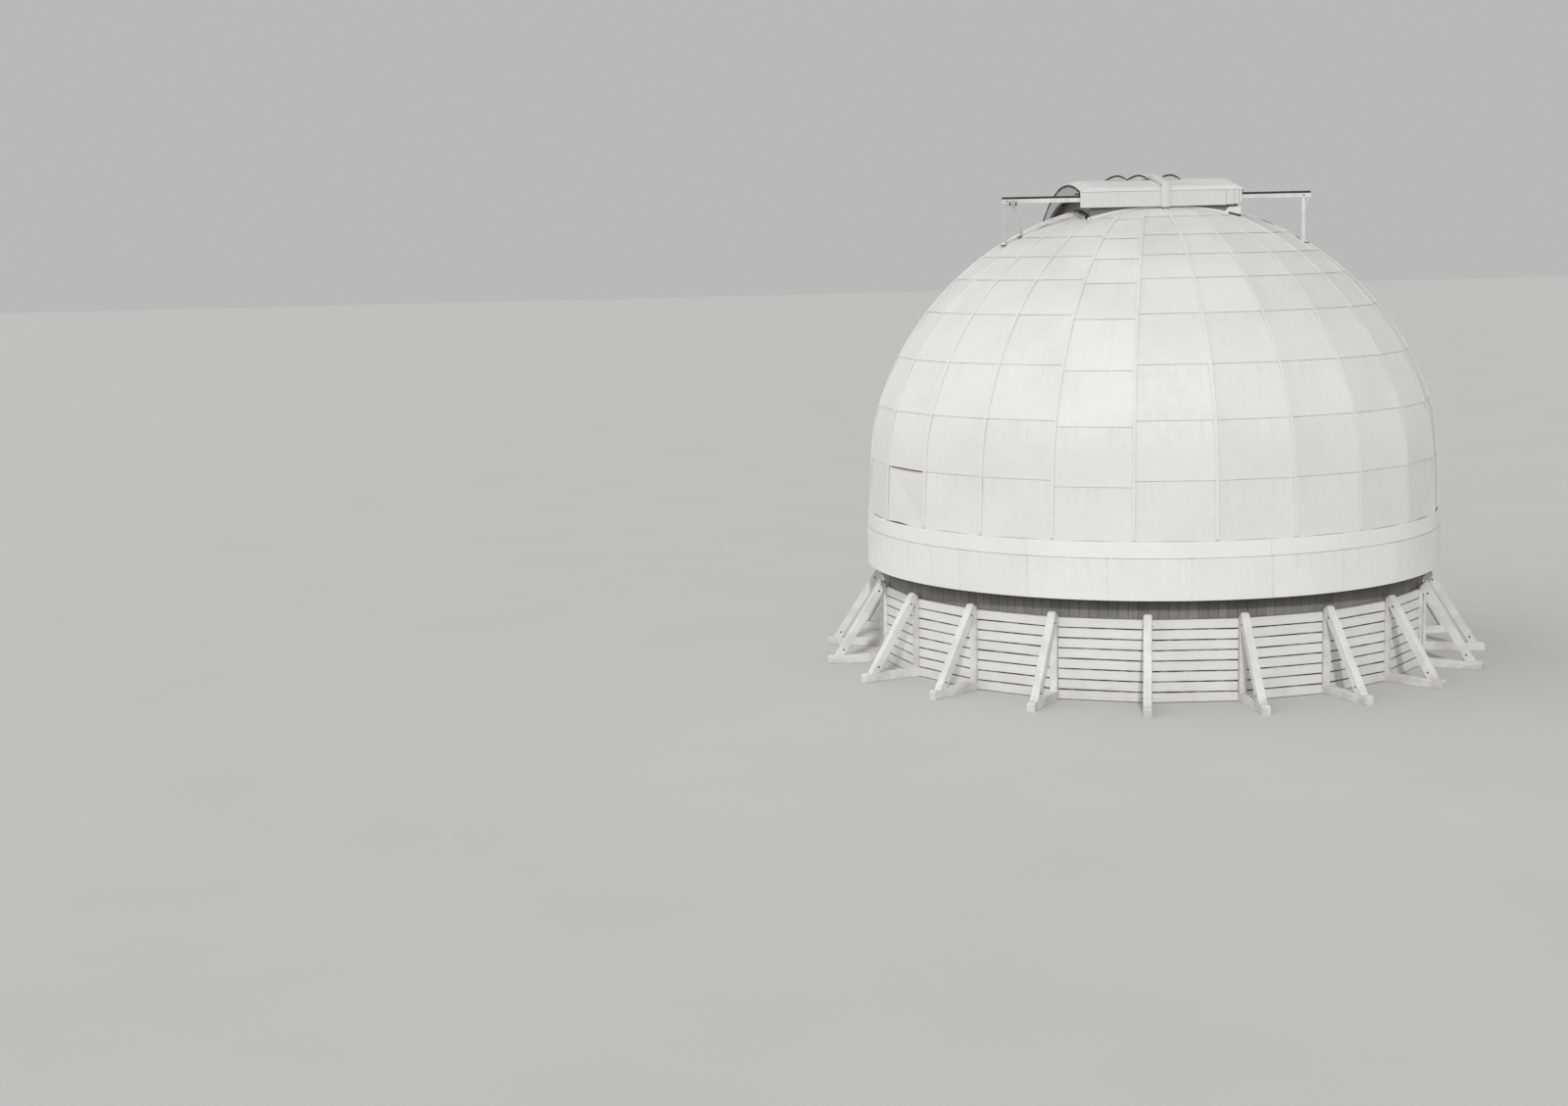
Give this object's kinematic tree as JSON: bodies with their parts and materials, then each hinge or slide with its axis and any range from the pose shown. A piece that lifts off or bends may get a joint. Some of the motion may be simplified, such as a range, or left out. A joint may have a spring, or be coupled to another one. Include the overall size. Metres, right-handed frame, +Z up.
{
  "type": "observatory dome",
  "caption": "Round board-clad drum with raking braces and a turning sheet-metal dome whose slit is closed by two sliding shutter halves.",
  "frame": {"origin": "on the dome's turning axis, at ground level", "axes": "+Z up along the turning axis; at rest the slit lies in the YZ plane with its upper end at the crown towards -Y and its lower end low on the +Y side; the shutter halves slide along +X and -X"},
  "size_m": [10.6434, 10.6434, 7.69],
  "materials": {
    "boards": "white oil paint on lapped boards, weathered",
    "timber": "white oil paint on sawn timber, weathered",
    "dark_timber": "dark tarred timber",
    "sheet": "white paint on sheet metal, satin, weathered",
    "steel": "dark bare steel, dull",
    "flashing": "dark tarred sheet strip, matt"
  },
  "bodies": {
    "drum": {"wall_front": "boards", "wall_right": "boards", "wall_back": "boards", "wall_left": "boards", "buttress_01": "timber", "buttress_02": "timber", "buttress_03": "timber", "buttress_04": "timber", "buttress_05": "timber", "buttress_06": "timber", "buttress_07": "timber", "buttress_08": "timber", "buttress_09": "timber", "buttress_10": "timber", "buttress_11": "timber", "buttress_12": "timber", "buttress_13": "timber", "buttress_14": "timber", "buttress_15": "timber", "buttress_16": "timber", "buttress_17": "timber", "buttress_18": "timber", "buttress_19": "timber", "buttress_20": "timber", "ring_beam": "dark_timber", "roller_ring": "steel"},
    "dome": {"base_ring": "dark_timber", "upstand": "dark_timber", "skirt": "sheet", "band": "sheet", "panel_front_right": "sheet", "panel_right_front": "sheet", "panel_right_back": "sheet", "panel_back_right": "sheet", "panel_back_left": "sheet", "panel_left_back": "sheet", "panel_left_front": "sheet", "panel_front_left": "sheet", "arch_left": "timber", "arch_right": "timber", "slit_head": "timber", "slit_sill": "timber", "near_beam": "timber", "near_rail": "steel", "far_beam": "timber", "far_rail": "steel"},
    "left_shutter": {"shutter_left_roof": "sheet", "shutter_left_cheek": "sheet", "shutter_left_fascia": "sheet", "shutter_left_near_truck": "steel", "shutter_left_far_truck": "steel", "flashing_left": "flashing"},
    "right_shutter": {"shutter_right_roof": "sheet", "shutter_right_cheek": "sheet", "shutter_right_fascia": "sheet", "shutter_right_near_truck": "steel", "shutter_right_far_truck": "steel", "joint_strap": "sheet", "flashing_right": "flashing"}
  },
  "joints": [
    {"name": "dome_turn", "type": "hinge", "parent": "drum", "child": "dome", "pos_m": [0, 0, 1.8], "axis": [0, 0, 1], "continuous": true},
    {"name": "left_slide", "type": "slide", "parent": "dome", "child": "left_shutter", "axis": [-1, 0, 0], "range_m": [0, 1.13]},
    {"name": "right_slide", "type": "slide", "parent": "dome", "child": "right_shutter", "axis": [1, 0, 0], "range_m": [0, 1.13]}
  ]
}
